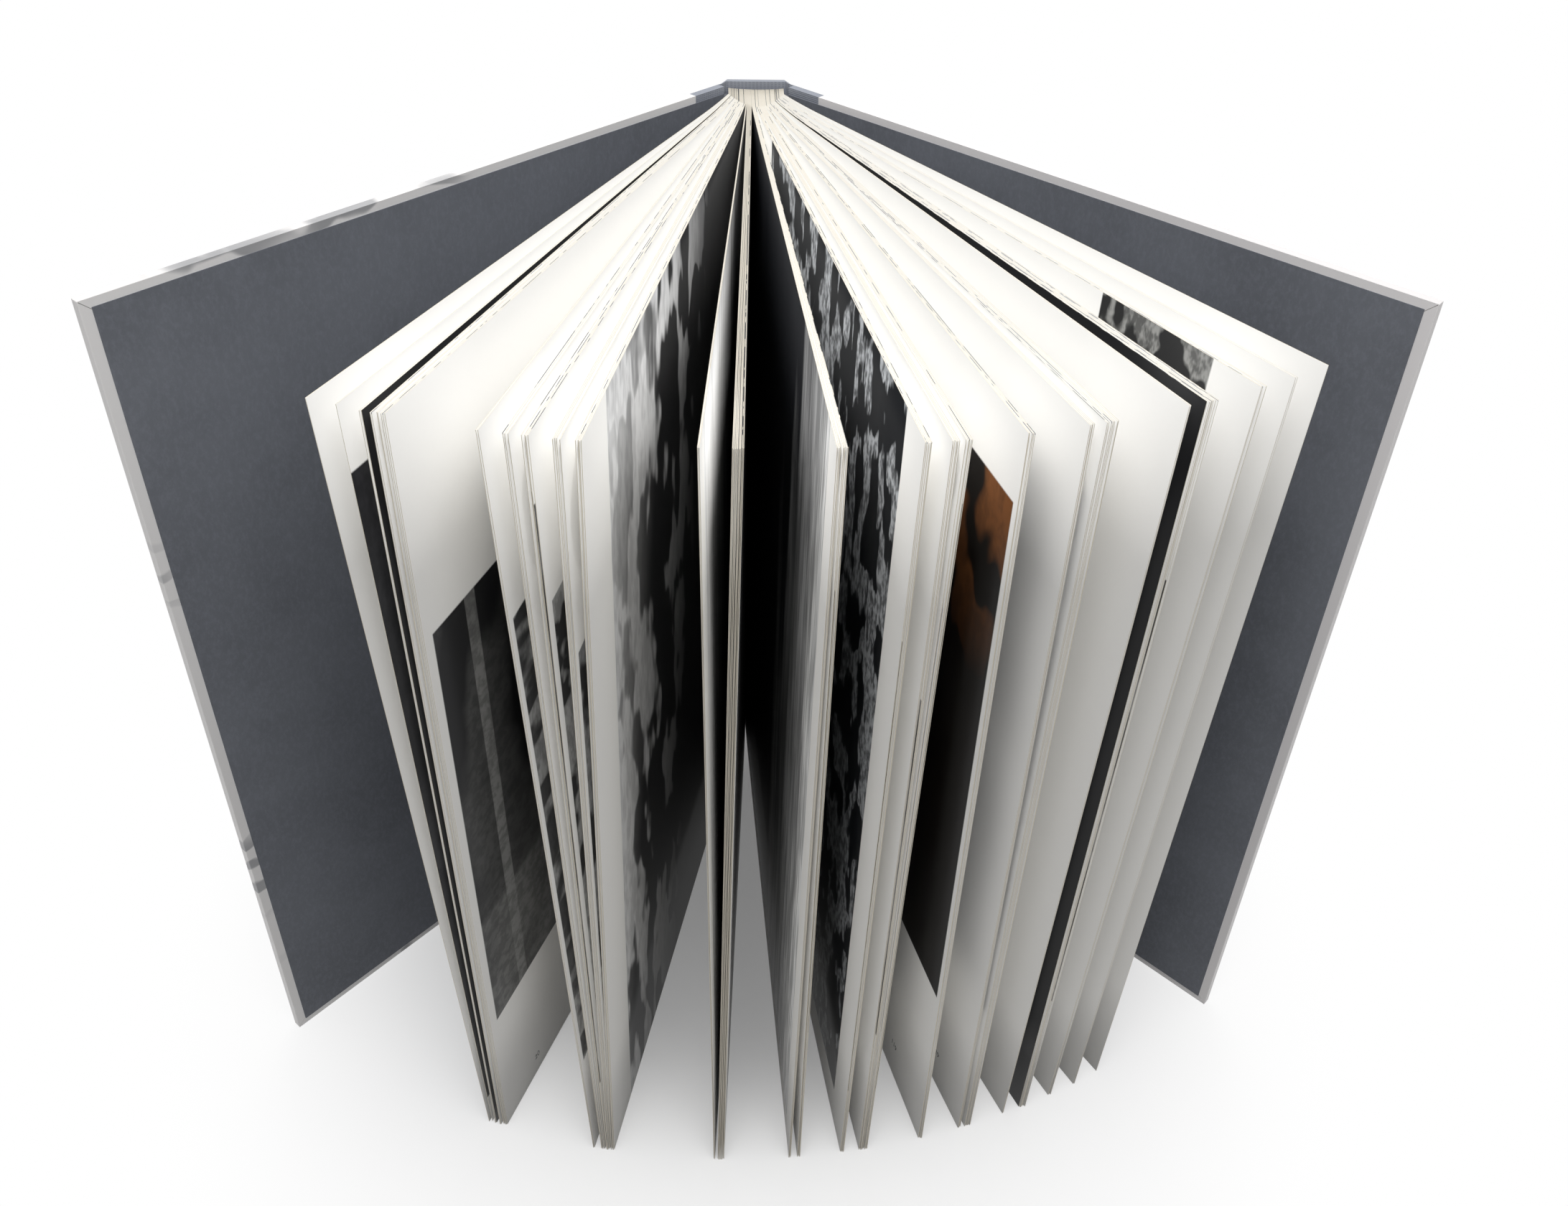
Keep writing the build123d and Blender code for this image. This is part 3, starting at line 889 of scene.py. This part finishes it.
class PHOTOBOOK_OT_stage(bpy.types.Operator):
    """Set the floor, the soft light and the camera"""

    bl_idname = "photobook.stage"
    bl_label = "Stage"

    def execute(self, context):
        settings = context.scene.photobook_stage
        scene = context.scene
        edge = np.array([[-1, -1, 0], [1, -1, 0], [1, 1, 0], [-1, 1, 0]]) * FLOOR_HALF

        # The floor keeps the book's shadow near it and turns white to the camera further off
        made = Finish("floor")
        between = {0: made.object_place, 1: GLOW_MIDDLE}
        distance = made.node("ShaderNodeVectorMath", between, operation="DISTANCE").outputs["Value"]
        glow = made.node("ShaderNodeEmission", {"Color": (1, 1, 1, 1), "Strength": 1.0})
        ray = made.node("ShaderNodeLightPath").outputs
        mirrored = made.math("MAXIMUM", ray["Is Glossy Ray"], ray["Is Transmission Ray"])
        seen = made.math("MAXIMUM", ray["Is Camera Ray"], mirrored)
        bounced = toned(settings.floor, settings.bounce)
        colour = made.mix(ray["Is Camera Ray"], bounced, tuple(settings.floor))
        made.finish(colour, 0.9, Specular_IOR_Level=0.1)
        far = made.ramp(distance, GLOW_NEAR, GLOW_FAR)
        far = made.math("MULTIPLY_ADD", far, 1 - GLOW_LEAST, GLOW_LEAST)
        share = made.math("MULTIPLY", far, seen)
        blend = made.node("ShaderNodeMixShader", {0: share, 1: made.shader.outputs[0], 2: glow.outputs[0]})
        made.tree.links.new(blend.outputs[0], made.tree.nodes["Material Output"].inputs["Surface"])
        floor = new_piece("floor", edge, [[0, 1, 2, 3]], made.material)

        # Soft light that grows from the horizon to the zenith. The camera sees a plain white background.
        world = bpy.data.worlds.new("soft_sky")
        world.use_nodes = True
        scene.world = world
        tree = world.node_tree
        sky = tree.nodes["Background"]
        path = tree.nodes.new("ShaderNodeLightPath")
        way = tree.nodes.new("ShaderNodeSeparateXYZ")
        tree.links.new(tree.nodes.new("ShaderNodeTexCoord").outputs["Generated"], way.inputs[0])
        height = tree.nodes.new("ShaderNodeMapRange")
        height.interpolation_type = "SMOOTHSTEP"
        tree.links.new(way.outputs["Z"], height.inputs["Value"])
        height.inputs["To Min"].default_value = settings.horizon
        height.inputs["To Max"].default_value = settings.zenith
        strength = tree.nodes.new("ShaderNodeMix")
        strength.inputs[3].default_value = 1.0
        tree.links.new(height.outputs[0], strength.inputs[2])
        tree.links.new(path.outputs["Is Camera Ray"], strength.inputs[0])
        tree.links.new(strength.outputs[0], sky.inputs["Strength"])
        sky.inputs["Color"].default_value = (1, 1, 1, 1)

        broad_lamp("overhead", LAMP_SIZE, settings.lamp, LAMP_PLACE, LAMP_TARGET)
        broad_lamp("back_fill", FILL_SIZE, settings.fill, FILL_PLACE, FILL_TARGET)

        # The camera is pitched down, turned towards +X and rolled
        across = cos(CAMERA_PITCH)
        away = Vector((sin(CAMERA_YAW) * across, cos(CAMERA_YAW) * across, -sin(CAMERA_PITCH)))
        right = Vector((cos(CAMERA_YAW), -sin(CAMERA_YAW), 0))
        up = right.cross(away)
        rolled_right = right * cos(CAMERA_ROLL) + up * sin(CAMERA_ROLL)
        rolled_up = up * cos(CAMERA_ROLL) - right * sin(CAMERA_ROLL)
        view = bpy.data.cameras.new("camera")
        view.sensor_width = SENSOR_WIDTH
        view.lens = FOCAL_LENGTH / PHOTO_WIDTH * SENSOR_WIDTH
        view.shift_x = (PHOTO_WIDTH / 2 - PRINCIPAL_POINT[0]) / PHOTO_WIDTH
        view.shift_y = (PRINCIPAL_POINT[1] - PHOTO_HEIGHT / 2) / PHOTO_WIDTH
        view.clip_start = 0.01
        camera = bpy.data.objects.new("camera", view)
        scene.collection.objects.link(camera)
        turned = Matrix((rolled_right, rolled_up, -away)).transposed().to_4x4()
        camera.matrix_world = Matrix.Translation(CAMERA_PLACE) @ turned
        scene.camera = camera
        scene.view_settings.view_transform = "Standard"
        return {"FINISHED"}


class PHOTOBOOK_PT_panel(bpy.types.Panel):
    """The photo book's steps and settings"""

    bl_idname = "PHOTOBOOK_PT_panel"
    bl_label = "Photo Book"
    bl_space_type = "VIEW_3D"
    bl_region_type = "UI"
    bl_category = "Photo Book"

    def draw(self, context):
        for group in SETTINGS:
            settings = getattr(context.scene, group)
            box = self.layout.box()
            for key in settings.__annotations__:
                box.prop(settings, key)
        for operator in OPERATORS:
            self.layout.operator(operator.bl_idname)


SETTINGS = {
    "photobook_leaves": LeafSettings,
    "photobook_case": CaseSettings,
    "photobook_stage": StageSettings,
}
OPERATORS = (
    PHOTOBOOK_OT_leaves,
    PHOTOBOOK_OT_flyleaves,
    PHOTOBOOK_OT_case,
    PHOTOBOOK_OT_folds,
    PHOTOBOOK_OT_stage,
)
CLASSES = (*SETTINGS.values(), *OPERATORS, PHOTOBOOK_PT_panel)


def register():
    for kind in CLASSES:
        bpy.utils.register_class(kind)
    for key, settings in SETTINGS.items():
        setattr(bpy.types.Scene, key, PointerProperty(type=settings))


def unregister():
    for key in SETTINGS:
        delattr(bpy.types.Scene, key)
    for kind in reversed(CLASSES):
        bpy.utils.unregister_class(kind)


def main():
    register()
    bpy.ops.photobook.leaves()
    bpy.ops.photobook.flyleaves()
    bpy.ops.photobook.case()
    bpy.ops.photobook.folds()
    bpy.ops.photobook.stage()


if __name__ == "__main__":
    main()
